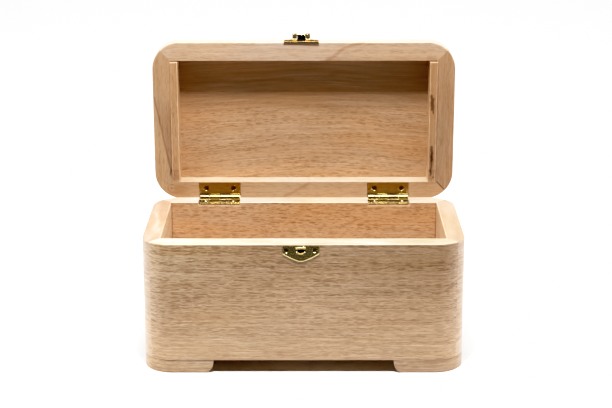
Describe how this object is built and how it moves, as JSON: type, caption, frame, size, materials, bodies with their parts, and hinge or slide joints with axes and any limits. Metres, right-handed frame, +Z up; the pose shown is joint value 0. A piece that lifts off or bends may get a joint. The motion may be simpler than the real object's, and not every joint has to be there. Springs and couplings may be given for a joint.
{
  "type": "wooden storage box",
  "caption": "Small beech storage box with rounded corners, mitred walls, low corner feet and a lid on brass butt hinges, shut by a brass latch lever that hooks under a catch on the front.",
  "frame": {"origin": "on the floor, under the middle of the bounding box of the whole box with its lid standing open", "axes": "+X to the right seen from the front, +Y to the back where the hinges are, +Z up"},
  "size_m": [0.22, 0.1406, 0.2136],
  "materials": {
    "beech_body": "sanded and lightly waxed beech",
    "beech_lid": "sanded and lightly waxed beech",
    "beech_panel": "sanded and lightly waxed beech panel",
    "beech_feet": "sanded and lightly waxed beech",
    "brass_hinge": "polished stamped brass",
    "brass_latch": "polished stamped brass",
    "brass_screw": "polished brass",
    "black_spring": "blackened spring steel"
  },
  "bodies": {
    "body": {"body_front_wall": "beech_body", "body_back_wall": "beech_body", "body_left_wall": "beech_body", "body_right_wall": "beech_body", "body_bottom_panel": "beech_panel", "front_left_foot": "beech_feet", "front_right_foot": "beech_feet", "back_left_foot": "beech_feet", "back_right_foot": "beech_feet", "left_hinge_body_leaf": "brass_hinge", "right_hinge_body_leaf": "brass_hinge", "left_hinge_pin": "brass_hinge", "right_hinge_pin": "brass_hinge", "hinge_body_screws": "brass_screw", "catch_plate": "brass_latch", "catch_screws": "brass_screw"},
    "lid": {"lid_front_wall": "beech_lid", "lid_back_wall": "beech_lid", "lid_left_wall": "beech_lid", "lid_right_wall": "beech_lid", "lid_top_panel": "beech_panel", "lid_left_batten": "beech_lid", "lid_right_batten": "beech_lid", "left_hinge_lid_leaf": "brass_hinge", "right_hinge_lid_leaf": "brass_hinge", "hinge_lid_screws": "brass_screw", "latch_plate": "brass_latch", "latch_pin": "brass_screw", "latch_spring": "black_spring", "latch_screws": "brass_screw"},
    "lever": {"latch_lever": "brass_latch"}
  },
  "joints": [
    {"name": "lid_hinge", "type": "hinge", "parent": "body", "child": "lid", "pos_m": [0, 0.04919, 0.09227], "axis": [1, 0, 0], "range_deg": [0, 90]},
    {"name": "latch_pivot", "type": "hinge", "parent": "lid", "child": "lever", "pos_m": [-0.0018, 0.05607, 0.21254], "axis": [1, 0, 0], "range_deg": [0, 202]}
  ]
}
